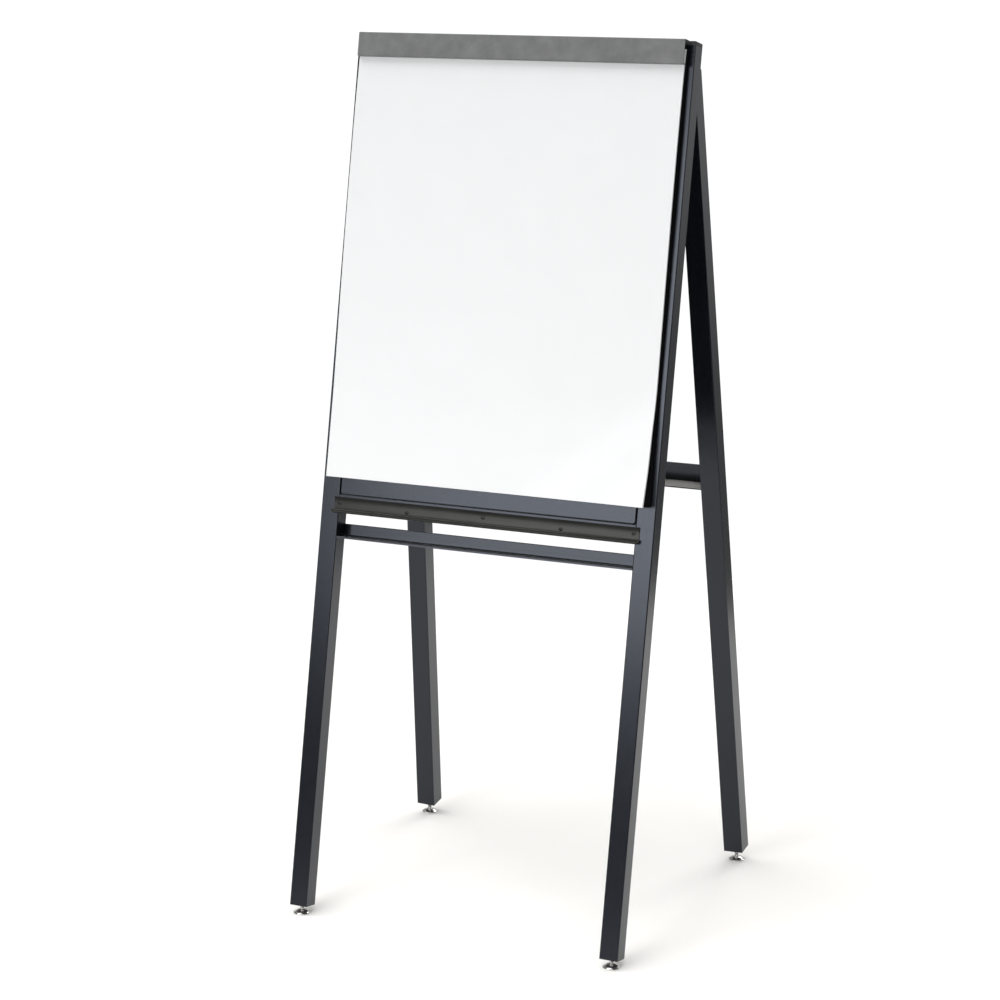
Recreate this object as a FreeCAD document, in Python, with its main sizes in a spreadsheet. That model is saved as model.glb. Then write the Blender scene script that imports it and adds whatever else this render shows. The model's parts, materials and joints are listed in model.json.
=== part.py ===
import FreeCAD, Part
import math
import os
import re
import Sketcher

# A floor-standing folding easel for a flipchart pad: two leaning tube frames joined by a hinge at the top.
# The front frame carries a pad on a board, a sprung clamp bar and a marker tray. Each leg has a foot
# that levels it.
# Lengths in mm, angles in degrees. X is across, Y runs from front to back, Z is up from the floor.
sizes = {
    # square tube of the legs
    "tube": 38.1,
    "rear_tube": 41.3,
    "tube_wall": 1.2,
    "tube_round": 2.0,
    # front frame; distances up the leg start at the lower end of its tube
    "front_width": 711.0,
    "leg_length": 1741.5,
    "front_lean": 11.6,
    "foot_spacing": 648.0,
    "cap_height": 9.0,
    "cap_plug": 15.0,
    "plug_gap": 0.1,
    # pad and its board, on the face of the front frame
    "pad_width": 686.0,
    "pad_height": 864.0,
    "pad_thick": 3.2,
    "sheet_thick": 0.3,
    "curl_up": 215.0,
    "curl_in": 260.0,
    "curl_lift": 24.0,
    "board_thick": 9.5,
    "board_round": 3.0,
    "board_screw_rows": 3,
    "board_screw_x": 200.0,
    "board_screw_edge": 130.0,
    # tray, the rail behind it and the crossbar below
    "rail_below_pad": 34.1,
    "rail_height": 32.0,
    "rail_depth": 25.4,
    "tray_below_rail": 5.3,
    "tray_height": 32.1,
    "tray_depth": 14.0,
    "tray_sheet": 2.0,
    "tray_lip": 7.1,
    "tray_edge": 1.8,
    "tray_overlap": 9.0,
    "tray_screw_end": 2.4,
    "tray_screw_mid": 165.0,
    "tray_screw_drop": 12.2,
    "tray_screw_step": 6.2,
    "bar_below_tray": 22.3,
    "bar_height": 28.2,
    "bar_thick": 4.0,
    "bar_root": 4.0,
    "bar_toe": 1.5,
    # panel let in between the front legs
    "panel_gap": 1.2,
    "panel_depth": 15.0,
    "panel_sheet": 0.8,
    "panel_round": 6.0,
    "panel_edge": 2.0,
    "panel_screw_rows": 3,
    "panel_screw_edge": 90.0,
    # clamp bar on its piano hinge
    "clamp_over": 8.1,
    "clamp_height": 47.1,
    "clamp_front": 26.0,
    "clamp_sheet": 1.5,
    "clamp_edge": 2.0,
    "clamp_grip_gap": 0.3,
    "knuckle_r": 4.0,
    "leaf_inset": 73.0,
    "knuckle_count": 9,
    "knuckle_gap": 0.6,
    "knuckle_clear": 0.5,
    "rod_r": 2.0,
    "rod_end": 2.0,
    "leaf_sheet": 1.5,
    "leaf_height": 9.0,
    "leaf_below_top": 0.2,
    "leaf_screw_edge": 30.0,
    "leaf_screw_count": 5,
    "pad_below_leaf": 0.5,
    # hinge between the two frames
    "pivot_drop": 60.5,
    "pivot_back": 76.0,
    "pivot_inset": 49.6,
    "pivot_r": 4.0,
    "bush_r": 7.0,
    "bush_length": 18.0,
    "bush_proud": 1.5,
    "washer_r": 9.0,
    "washer_thick": 1.0,
    "hex_r": 7.5,
    "hex_height": 5.3,
    "web_thick": 4.0,
    "web_lobe": 20.0,
    "web_round": 8.0,
    "web_head": 30.0,
    "flange_width": 40.0,
    "flange_edge": 2.0,
    "flange_bolt_r": 3.0,
    "flange_hex_r": 5.8,
    "flange_hex": 4.0,
    "flange_bolt_reach": 12.0,
    "flange_bolt_edge": 10.0,
    "stop_r": 5.0,
    "stop_up": 20.0,
    "stop_gap": 0.1,
    "stop_length": 30.0,
    "stop_shank_r": 4.0,
    "stop_head_r": 6.0,
    "stop_head": 2.0,
    # rear frame
    "splay": 2.0,
    "cap_over_bush": 2.0,
    "rear_cap_height": 5.0,
    "angle_up": 811.7,
    "angle_height": 40.0,
    "angle_thick": 2.5,
    # levelling feet
    "front_stem": 11.5,
    "rear_stem": 21.0,
    "stem_r": 4.0,
    "thread_length": 31.5,
    "neck_r": 2.5,
    "neck_length": 4.5,
    "insert_height": 25.0,
    "ball_r": 4.0,
    "ball_height": 5.0,
    "ball_gap": 0.1,
    "glide_r": 17.0,
    "glide_edge": 1.5,
    "glide_crown": 8.0,
    "glide_top": 7.0,
    # small screws
    "screw_r": 1.6,
    "screw_reach": 6.0,
    "screw_end": 2.0,
    "screw_head_r": 3.4,
    "screw_crown_r": 2.5,
    "screw_head": 1.4,
    # clearances, on the radius of a fixed and of a turning fit, and along a pivot
    "fixed_fit": 0.02,
    "turning_fit": 0.05,
    "pivot_play": 0.15,
}
# Sizes that follow from the ones above.
derived = {
    "inner_half": "front_width/2 - tube",
    "leg_x": "front_width/2 - tube/2",
    "bore": "tube - 2*tube_wall",
    "bore_round": "tube_round - tube_wall",
    "plug": "bore - 2*plug_gap",
    "rear_plug": "rear_tube - 2*tube_wall - 2*plug_gap",
    "front_y": "-foot_spacing/2 + front_stem*sin(front_lean) - tube/2*cos(front_lean)",
    "front_z": "ball_height + front_stem*cos(front_lean) + tube/2*sin(front_lean)",
    "pivot_w": "leg_length - pivot_drop",
    "pivot_depth": "tube + pivot_back",
    "pivot_y": "front_y + pivot_w*sin(front_lean) + pivot_depth*cos(front_lean)",
    "pivot_z": "front_z + pivot_w*cos(front_lean) - pivot_depth*sin(front_lean)",
    "pivot_x": "front_width/2 - pivot_inset",
    "rear_run": "foot_spacing/2 - pivot_y",
    "rear_rise": "pivot_z - ball_height",
    "rear_lean": "atan2(rear_run; rear_rise)/1 deg",
    "rear_reach": "sqrt(rear_run^2 + rear_rise^2)",
    "rear_foot_x": "pivot_x + rear_reach*tan(splay)",
    "rear_drop": "rear_reach/cos(splay) - rear_stem",
    "rear_over": "bush_r + cap_over_bush + cap_plug",
    "open_angle": "front_lean + rear_lean",
    "leg_side": "rear_tube/2/cos(splay)",
    "rear_inner_x": "pivot_x - leg_side",
    "bush_end": "rear_inner_x - bush_proud",
    "web_out": "bush_end - washer_thick - pivot_play",
    "web_in": "web_out - web_thick",
    "stop_off": "rear_tube/2 + stop_r + stop_gap",
    "stop_y": "pivot_depth - stop_off*cos(open_angle) - stop_up*sin(open_angle)",
    "stop_w": "pivot_w - stop_off*sin(open_angle) + stop_up*cos(open_angle)",
    "flange_low": "leg_length - tube + flange_edge",
    "flange_top": "leg_length - flange_edge",
    "angle_low": "angle_up - rear_drop*cos(splay)",
    "clamp_top": "leg_length + clamp_over",
    "clamp_low": "clamp_top - clamp_height",
    "rod_w": "clamp_top - knuckle_r",
    "rod_y": "-knuckle_r - knuckle_clear",
    "leaf_top": "leg_length - leaf_below_top",
    "leaf_low": "leaf_top - leaf_height",
    "leaf_length": "pad_width - 2*leaf_inset",
    "knuckle_step": "leaf_length/knuckle_count",
    "pad_top": "leaf_low - pad_below_leaf",
    "pad_low": "pad_top - pad_height",
    "pad_face": "board_thick + pad_thick + sheet_thick",
    "curl_fold": "sqrt(curl_up^2 + curl_in^2)",
    "curl_turn": "atan2(curl_up; curl_in)/1 deg",
    "curl_reach": "curl_up*curl_in/curl_fold",
    "curl_r": "(curl_reach^2 + curl_lift^2)/(2*curl_lift)",
    "curl_centre": "pad_face + curl_r",
    "curl_room": "pad_face + 2*curl_lift",
    "rail_top": "pad_low - rail_below_pad",
    "tray_top": "rail_top - tray_below_rail",
    "tray_low": "tray_top - tray_height",
    "tray_length": "2*(inner_half + tray_overlap)",
    "bar_top": "tray_low - bar_below_tray",
    "panel_width": "2*(inner_half - panel_gap)",
    "panel_height": "leg_length - tube - rail_top",
    "panel_side": "panel_width/2 - panel_sheet",
    "crown_r": "(glide_r^2 + (glide_crown - glide_edge)^2)/(2*(glide_crown - glide_edge))",
}

doc = FreeCAD.newDocument("flipchart_easel")
sheet = doc.addObject("Spreadsheet::Sheet", "Sizes")
aliases = list(sizes) + list(derived)
nodes = []

# Turns that point a thing's own Z axis along another axis of its frame.
to_front = ((1, 0, 0), "90")
to_back = ((1, 0, 0), "-90")
to_right = ((0, 1, 0), "90")
to_left = ((0, 1, 0), "-90")
section_across = ((1, 1, 1), "120")     # drawn X runs back, drawn Y runs up, and the length runs along X
upright = ((0, 0, 1), "0")
same_spot = 0.01                        # how near two points are when they count as one


def cells(text):
    """Write an expression on the sheet's names as one that other objects can use."""
    def address(word):
        name = word.group()
        return "Sizes." + name if name in aliases else name
    return re.sub(r"[a-z]\w*", address, text)


def value(text):
    """The number that an expression on the sheet's names gives now."""
    number = sheet.evalExpression(cells(text))
    return float(getattr(number, "Value", number))


def fill_sheet():
    rows = [(name, str(number)) for name, number in sizes.items()]
    rows += [(name, "=" + text) for name, text in derived.items()]
    for row, (name, text) in enumerate(rows, 1):
        sheet.set(f"A{row}", name)
        sheet.set(f"B{row}", text)
        sheet.setAlias(f"B{row}", name)
    doc.recompute()


def place(thing, frame, at=("0", "0", "0"), turn=upright, along="0"):
    """Tie a thing to a frame: an offset, a turn about an axis, and a shift along the thing's own Z axis."""
    axis, angle = turn
    base = "; ".join(cells(text) for text in at)
    seat = f"placement(vector({base}); rotation(vector({axis[0]}; {axis[1]}; {axis[2]}); {cells(angle)}))"
    shift = f"placement(vector(0; 0; {cells(along)}); rotation(vector(0; 0; 1); 0))"
    start = f"{frame}.Placement * " if frame else ""
    thing.setExpression("Placement", start + f"{seat} * {shift}")
    return thing


def datum(name, parent, at, turn):
    return place(doc.addObject("App::Placement", name), parent, at, turn)


def bind(thing, **lengths):
    for prop, text in lengths.items():
        thing.setExpression(prop, cells(text))
    return thing


def box(name, wide, deep, high):
    return bind(doc.addObject("Part::Box", name), Length=wide, Width=deep, Height=high)


def cylinder(name, radius, height):
    return bind(doc.addObject("Part::Cylinder", name), Radius=radius, Height=height)


def ball(name, radius):
    return bind(doc.addObject("Part::Sphere", name), Radius=radius)


def fuse(name, parts):
    joined = doc.addObject("Part::MultiFuse", name)
    joined.Shapes = parts
    joined.Refine = True
    return joined


def cut(name, base, tools):
    made = doc.addObject("Part::Cut", name)
    made.Base = base
    made.Tool = tools[0] if len(tools) == 1 else fuse(name + "_cuts", tools)
    return made


def common(name, base, tool):
    made = doc.addObject("Part::Common", name)
    made.Base, made.Tool = base, tool
    return made


def group(name, parts):
    made = doc.addObject("Part::Compound", name)
    made.Links = parts
    return made


def mirror(name, source):
    made = doc.addObject("Part::Mirroring", name)
    made.Source = source
    made.Normal = FreeCAD.Vector(1, 0, 0)
    return made


def node(thing, label):
    thing.Label = label
    nodes.append(thing)
    return thing


def pair(thing, name):
    """Hand over the right-hand piece and its mirror image as two nodes."""
    node(thing, name + "_right")
    node(mirror(name + "_mirrored", thing), name + "_left")


def both_sides(thing, name):
    """Hand over a right-hand thing and its mirror image as one node of separate solids."""
    node(group(name, [thing, mirror(name + "_mirrored", thing)]), name)


def new_sketch(body, name):
    sketch = body.newObject("Sketcher::SketchObject", name)
    plane = [item for item in body.Origin.OriginFeatures if item.Role == "XY_Plane"][0]
    sketch.AttachmentSupport = [(plane, "")]
    sketch.MapMode = "FlatFace"
    return sketch


def hold(sketch, text, kind, *where):
    index = sketch.addConstraint(Sketcher.Constraint(kind, *where, value(text)))
    sketch.setExpression(f"Constraints[{index}]", cells(text))


def rounded_rectangle(sketch, wide, deep, corner):
    """A rectangle about the origin, with four equal corner arcs."""
    half_w, half_d, r = value(wide)/2, value(deep)/2, value(corner)
    first = sketch.GeometryCount
    in_w, in_d = half_w - r, half_d - r
    ends = [((-in_w, -half_d), (in_w, -half_d)), ((half_w, -in_d), (half_w, in_d)),
            ((in_w, half_d), (-in_w, half_d)), ((-half_w, in_d), (-half_w, -in_d))]
    centres = [(in_w, -in_d), (in_w, in_d), (-in_w, in_d), (-in_w, -in_d)]
    for start, end in ends:
        sketch.addGeometry(Part.LineSegment(FreeCAD.Vector(*start, 0), FreeCAD.Vector(*end, 0)), False)
    for quarter, centre in enumerate(centres):
        circle = Part.Circle(FreeCAD.Vector(*centre, 0), FreeCAD.Vector(0, 0, 1), r)
        start = (quarter - 1)*math.pi/2
        sketch.addGeometry(Part.ArcOfCircle(circle, start, start + math.pi/2), False)
    for side in range(4):
        line, arc, following = first + side, first + 4 + side, first + (side + 1) % 4
        sketch.addConstraint(Sketcher.Constraint("Tangent", line, 2, arc, 1))
        sketch.addConstraint(Sketcher.Constraint("Tangent", arc, 2, following, 1))
        sketch.addConstraint(Sketcher.Constraint("Horizontal" if side % 2 == 0 else "Vertical", line))
        if side:
            sketch.addConstraint(Sketcher.Constraint("Equal", first + 4, arc))
    sketch.addConstraint(Sketcher.Constraint("Symmetric", first + 4, 3, first + 6, 3, -1, 1))
    hold(sketch, wide, "DistanceX", first + 3, 1, first + 1, 1)
    hold(sketch, deep, "DistanceY", first, 1, first + 2, 1)
    hold(sketch, corner, "Radius", first + 4)


def polygon(sketch, points):
    """A closed outline through points that are pairs of expressions."""
    spots = [FreeCAD.Vector(value(across), value(up), 0) for across, up in points]
    count = len(spots)
    for index in range(count):
        sketch.addGeometry(Part.LineSegment(spots[index], spots[(index + 1) % count]), False)
    for index, (across, up) in enumerate(points):
        sketch.addConstraint(Sketcher.Constraint("Coincident", index, 2, (index + 1) % count, 1))
        hold(sketch, across, "DistanceX", -1, 1, index, 1)
        hold(sketch, up, "DistanceY", -1, 1, index, 1)


def pad_up(body, sketch, length):
    feature = body.newObject("PartDesign::Pad", body.Name + "_length")
    feature.Profile = sketch
    bind(feature, Length=length)
    doc.recompute()


def bar(name, wide, deep, corner, length, wall=None):
    """A straight bar of rounded section about its own Z axis, hollow where a wall is given."""
    body = doc.addObject("PartDesign::Body", name)
    sketch = new_sketch(body, name + "_section")
    rounded_rectangle(sketch, wide, deep, corner)
    if wall:
        rounded_rectangle(sketch, f"{wide} - 2*{wall}", f"{deep} - 2*{wall}", f"{corner} - {wall}")
    pad_up(body, sketch, length)
    return body


def extrusion(name, points, length):
    """A straight bar of polygon section, drawn in X and Y and drawn out along Z."""
    body = doc.addObject("PartDesign::Body", name)
    sketch = new_sketch(body, name + "_section")
    polygon(sketch, points)
    pad_up(body, sketch, length)
    return body


def soften(body, radius, chosen):
    """Round those edges of a body that the test picks."""
    base = body.Tip
    names = [f"Edge{index}" for index, edge in enumerate(base.Shape.Edges, 1) if chosen(edge)]
    rounding = body.newObject("PartDesign::Fillet", body.Name + "_rounding")
    rounding.Base = (base, names)
    bind(rounding, Radius=radius)
    doc.recompute()
    return body


def corner_edges(spots):
    """A test for the edges along Z that stand on given points of a section."""
    places = [(value(across), value(up)) for across, up in spots]

    def chosen(edge):
        ends = [vertex.Point for vertex in edge.Vertexes]
        return any(all(math.hypot(end.x - x, end.y - y) < same_spot for end in ends) for x, y in places)
    return chosen


def level_edges(height):
    """A test for the edges that lie at one height along Z."""
    level = value(height)
    return lambda edge: all(abs(vertex.Point.z - level) < same_spot for vertex in edge.Vertexes)


def screw(name, radius, reach):
    """A round-headed screw: the head stands on Z = 0 and the shank goes down from there."""
    shank = place(cylinder(name + "_shank", radius, reach), None, along=f"-({reach})")
    head = bind(doc.addObject("Part::Cone", name + "_head"),
                Radius1="screw_head_r", Radius2="screw_crown_r", Height="screw_head")
    return fuse(name, [shank, head])


def hex_bolt(name, radius, reach, hex_radius, hex_height):
    shank = place(cylinder(name + "_shank", radius, reach), None, along=f"-({reach})")
    head = bind(doc.addObject("Part::Prism", name + "_head"), Circumradius=hex_radius, Height=hex_height)
    return fuse(name, [shank, head])


def ring(name, outer, inner, length):
    return cut(name, cylinder(name + "_outside", outer, length), [cylinder(name + "_bore", inner, length)])


def drill(name, radius, half_length, frame_name, at, turn):
    """A cutter that reaches equally far to both sides of its place."""
    bit = cylinder(name, radius, f"2*({half_length})")
    return place(bit, frame_name, at, turn, f"-({half_length})")


def spread(count, first, last):
    """Expressions for evenly spaced places from one expression to another."""
    return [f"({first}) + (({last}) - ({first}))*{step}/{count - 1}" for step in range(count)]


def make_frames():
    datum("front_frame", None, ("0", "front_y", "front_z"), ((1, 0, 0), "-front_lean"))
    datum("front_leg_frame", "front_frame", ("leg_x", "tube/2", "0"), upright)
    datum("rear_frame", None, ("0", "pivot_y", "pivot_z"), ((1, 0, 0), "rear_lean"))
    datum("rear_leg_frame", "rear_frame", ("pivot_x", "0", "0"), ((0, 1, 0), "-splay"))
    datum("curl_frame", "front_frame", ("pad_width/2 - curl_in", "0", "pad_low"), ((0, 1, 0), "-curl_turn"))


def panel_screw_spots():
    return spread(sizes["panel_screw_rows"], "rail_top + panel_screw_edge",
                  "rail_top + panel_height - panel_screw_edge")


def make_front_legs():
    tube = bar("front_leg_tube", "tube", "tube", "tube_round", "leg_length", "tube_wall")
    place(tube, "front_leg_frame")
    holes = [drill(f"leg_panel_hole_{row}", "screw_r + fixed_fit", "2*tube_wall", "front_frame",
                   ("inner_half", "panel_depth/2", up), to_right)
             for row, up in enumerate(panel_screw_spots())]
    pair(cut("front_leg", tube, holes), "front_leg")


def end_cap(name, height, wide, plug):
    head = bar(name + "_head", wide, wide, "tube_round", height)
    shank = place(bar(name + "_plug", plug, plug, "bore_round", "cap_plug"), None, along="-cap_plug")
    return fuse(name, [head, shank])


def make_caps():
    front = end_cap("front_cap", "cap_height", "tube", "plug")
    both_sides(place(front, "front_leg_frame", along="leg_length"), "front_leg_caps")
    rear = end_cap("rear_cap", "rear_cap_height", "rear_tube", "rear_plug")
    both_sides(place(rear, "rear_leg_frame", along="rear_over"), "rear_leg_caps")


def rail(name, high, deep, top):
    """A tube between the inner sides of the front legs, level with their faces."""
    body = bar(name + "_tube", high, deep, "tube_round", "2*inner_half", "tube_wall")
    return place(body, "front_frame", ("-inner_half", f"{deep}/2", f"{top} - {high}/2"), to_right)


def leaf_screw_spots():
    reach = "(leaf_length/2 - leaf_screw_edge)"
    places = spread(sizes["leaf_screw_count"], f"-{reach}", reach)
    return [(across, "leaf_low + leaf_height/2") for across in places]


def flange_bolt_spots():
    """Places of the bolts of both hinge brackets, those of the right-hand one first."""
    heights = ("flange_low + flange_bolt_edge", "flange_top - flange_bolt_edge")
    return [(f"{side}(web_in - flange_width/2)", up) for side in ("", "-") for up in heights]


def make_top_rail():
    holes = [drill(f"rail_leaf_hole_{index}", "screw_r + fixed_fit", "2*tube_wall", "front_frame",
                   (across, "0", up), to_front) for index, (across, up) in enumerate(leaf_screw_spots())]
    holes += [drill(f"rail_bolt_hole_{index}", "flange_bolt_r + fixed_fit", "2*tube_wall", "front_frame",
                    (across, "tube", up), to_back) for index, (across, up) in enumerate(flange_bolt_spots())]
    node(cut("top_rail", rail("top_rail", "tube", "tube", "leg_length"), holes), "top_rail")


def tray_screw_spots():
    """Five screws through the tray; the second and fourth sit lower."""
    high = "tray_top - tray_screw_drop"
    low = f"{high} - tray_screw_step"
    end = "inner_half - tray_screw_end"
    return [(f"-({end})", high), ("-tray_screw_mid", low), ("0", high), ("tray_screw_mid", low), (end, high)]


def make_tray():
    section = [("0", "tray_low"), ("0", "tray_top"), ("-tray_sheet", "tray_top"),
               ("-tray_sheet", "tray_low + tray_sheet"), ("tray_sheet - tray_depth", "tray_low + tray_sheet"),
               ("tray_sheet - tray_depth", "tray_low + tray_lip"), ("-tray_depth", "tray_low + tray_lip"),
               ("-tray_depth", "tray_low")]
    strip = extrusion("tray_strip", section, "tray_length")
    soften(strip, "tray_edge", corner_edges([("-tray_depth", "tray_low")]))
    place(strip, "front_frame", ("-tray_length/2", "0", "0"), section_across)
    spots = list(enumerate(tray_screw_spots()))
    holes = [drill(f"tray_hole_{index}", "screw_r + fixed_fit", "2*tray_sheet", "front_frame",
                   (across, "0", up), to_front) for index, (across, up) in spots]
    node(cut("marker_tray", strip, holes), "marker_tray")
    holes = [drill(f"tray_rail_hole_{index}", "screw_r + fixed_fit", "2*tube_wall", "front_frame",
                   (across, "0", up), to_front) for index, (across, up) in spots]
    node(cut("tray_rail", rail("tray_rail", "rail_height", "rail_depth", "rail_top"), holes), "tray_rail")
    screws = [place(screw(f"tray_screw_{index}", "screw_r", "screw_reach"), "front_frame",
                    (across, "-tray_sheet", up), to_front) for index, (across, up) in spots]
    node(group("tray_screws", screws), "tray_screws")


def make_lower_crossbar():
    """An angle with its upright leaf at the back and its level leaf reaching forward to the legs' faces."""
    low, floor, back = "bar_top - bar_height", "bar_top - bar_height + bar_thick", "tube - bar_thick"
    upright_toe, root, level_toe = (back, "bar_top"), (back, floor), ("0", floor)
    angle = extrusion("lower_angle", [("0", low), ("tube", low), ("tube", "bar_top"),
                                      upright_toe, root, level_toe], "2*inner_half")
    soften(angle, "bar_root", corner_edges([root]))
    soften(angle, "bar_toe", corner_edges([upright_toe, level_toe]))
    node(place(angle, "front_frame", ("-inner_half", "0", "0"), section_across), "lower_crossbar")


def board_screw_spots():
    rows = spread(sizes["board_screw_rows"], "pad_low + board_screw_edge", "pad_top - board_screw_edge")
    return [(f"{side}board_screw_x", up) for side in ("", "-") for up in rows]


def make_panel():
    centre = "rail_top + panel_height/2"
    outside = bar("panel_outside", "panel_width", "panel_height", "panel_round", "panel_depth")
    soften(outside, "panel_edge", level_edges("panel_depth"))
    hollow = bar("panel_hollow", "panel_width - 2*panel_sheet", "panel_height - 2*panel_sheet",
                 "panel_round - panel_sheet", "panel_depth - panel_sheet")
    for body in (outside, hollow):
        place(body, "front_frame", ("0", "panel_depth", centre), to_front)
    holes = [drill(f"panel_side_hole_{row}", "screw_r + fixed_fit", "panel_width", "front_frame",
                   ("0", "panel_depth/2", up), to_right) for row, up in enumerate(panel_screw_spots())]
    holes += [drill(f"panel_board_hole_{index}", "screw_r + fixed_fit", "2*panel_sheet", "front_frame",
                    (across, "0", up), to_front) for index, (across, up) in enumerate(board_screw_spots())]
    node(cut("back_panel", outside, [hollow] + holes), "back_panel")
    screws = [place(screw(f"panel_screw_{row}", "screw_r", "panel_sheet + panel_gap + tube_wall + screw_end"),
                    "front_frame", ("panel_side", "panel_depth/2", up), to_left)
              for row, up in enumerate(panel_screw_spots())]
    both_sides(group("panel_screws_right", screws), "panel_screws")


def curled_layer(name, back, thick):
    """A layer of the pad: flat on the board up to a slanting line, then curling forward to its corner."""
    face = f"{back} + {thick}"
    flat = place(box(name + "_flat", "pad_width", thick, "pad_height"), "front_frame",
                 ("-pad_width/2", f"-({face})", "pad_low"))
    room = place(box(name + "_room", "pad_width", "curl_room", "pad_height"), "front_frame",
                 ("-pad_width/2", "-curl_room", "pad_low"))
    corner = place(box(name + "_corner", "2*curl_fold", "curl_room", "2*curl_reach"), "curl_frame",
                   ("-curl_fold/2", "-curl_room", "-2*curl_reach"))
    rolls = [place(cylinder(f"{name}_{side}", radius, "2*curl_fold"), "curl_frame",
                   ("-curl_fold/2", "-curl_centre", "0"), to_right)
             for side, radius in (("back", f"curl_centre - ({back})"), ("face", f"curl_centre - ({face})"))]
    roll = cut(name + "_roll", rolls[0], rolls[1:])
    curl = common(name + "_curl", roll, common(name + "_end", room, corner))
    return fuse(name, [cut(name + "_rest", flat, [corner]), curl])


def make_board_and_pad():
    slab = bar("board_slab", "pad_width", "pad_height", "board_round", "board_thick")
    place(slab, "front_frame", ("0", "0", "pad_low + pad_height/2"), to_front)
    spots = list(enumerate(board_screw_spots()))
    holes = [drill(f"board_hole_{index}", "screw_r + fixed_fit", "screw_reach", "front_frame",
                   (across, "0", up), to_front) for index, (across, up) in spots]
    node(cut("backing_board", slab, holes), "backing_board")
    screws = [place(screw(f"board_screw_{index}", "screw_r", "screw_reach"), "front_frame",
                    (across, "panel_sheet", up), to_back) for index, (across, up) in spots]
    node(group("board_screws", screws), "board_screws")
    node(curled_layer("paper_pad", "board_thick", "pad_thick"), "paper_pad")
    node(curled_layer("pad_top_sheet", "board_thick + pad_thick", "sheet_thick"), "pad_top_sheet")


def knuckles(name, first):
    """Every second knuckle of the clamp's hinge, from the given one on."""
    return [place(cylinder(f"{name}_{index}", "knuckle_r", "knuckle_step - knuckle_gap"), "front_frame",
                  (f"-leaf_length/2 + {index}*knuckle_step + knuckle_gap/2", "rod_y", "rod_w"), to_right)
            for index in range(first, sizes["knuckle_count"], 2)]


def rod_bore(name, fit):
    return drill(name, f"rod_r + {fit}", "leaf_length", "front_frame", ("0", "rod_y", "rod_w"), to_right)


def make_clamp():
    grip = "-(pad_face + clamp_grip_gap)"
    section = [("-clamp_front", "clamp_low"), ("-clamp_front", "clamp_top"), ("rod_y", "clamp_top"),
               ("rod_y", "clamp_top - clamp_sheet"), ("clamp_sheet - clamp_front", "clamp_top - clamp_sheet"),
               ("clamp_sheet - clamp_front", "clamp_low + clamp_sheet"), (grip, "clamp_low + clamp_sheet"),
               (grip, "clamp_low")]
    channel = extrusion("clamp_channel", section, "pad_width")
    soften(channel, "clamp_edge", corner_edges(section[:2]))
    place(channel, "front_frame", ("-pad_width/2", "0", "0"), section_across)
    notches = []
    for index in range(0, sizes["knuckle_count"], 2):
        notch = box(f"clamp_notch_{index}", "knuckle_step + knuckle_gap", "2*knuckle_r", "2*knuckle_r")
        start = f"-leaf_length/2 + {index}*knuckle_step - knuckle_gap/2"
        notches.append(place(notch, "front_frame", (start, "rod_y - knuckle_r - knuckle_clear", "rod_w")))
    solid = fuse("clamp_solid", [channel] + knuckles("clamp_knuckle", 1))
    node(cut("clamp_bar", solid, notches + [rod_bore("clamp_bore", "turning_fit")]), "clamp_bar")


def make_clamp_hinge():
    parts = [place(box("leaf_strip", "leaf_length", "leaf_sheet", "leaf_height"), "front_frame",
                   ("-leaf_length/2", "-leaf_sheet", "leaf_low"))]
    for index in range(0, sizes["knuckle_count"], 2):
        neck = box(f"leaf_neck_{index}", "knuckle_step - knuckle_gap", "leaf_sheet", "rod_w - leaf_top")
        start = f"-leaf_length/2 + {index}*knuckle_step + knuckle_gap/2"
        parts.append(place(neck, "front_frame", (start, "-leaf_sheet", "leaf_top")))
    solid = fuse("leaf_solid", parts + knuckles("leaf_knuckle", 0))
    spots = list(enumerate(leaf_screw_spots()))
    holes = [drill(f"leaf_hole_{index}", "screw_r + fixed_fit", "2*leaf_sheet", "front_frame",
                   (across, "0", up), to_front) for index, (across, up) in spots]
    node(cut("clamp_hinge_leaf", solid, holes + [rod_bore("leaf_bore", "fixed_fit")]), "clamp_hinge_leaf")
    screws = [place(screw(f"leaf_screw_{index}", "screw_r", "screw_reach"), "front_frame",
                    (across, "-leaf_sheet", up), to_front) for index, (across, up) in spots]
    node(group("clamp_hinge_screws", screws), "clamp_hinge_screws")
    rod = cylinder("torsion_rod", "rod_r", "leaf_length + 2*rod_end")
    place(rod, "front_frame", ("-leaf_length/2 - rod_end", "rod_y", "rod_w"), to_right)
    node(rod, "clamp_torsion_rod")


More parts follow.
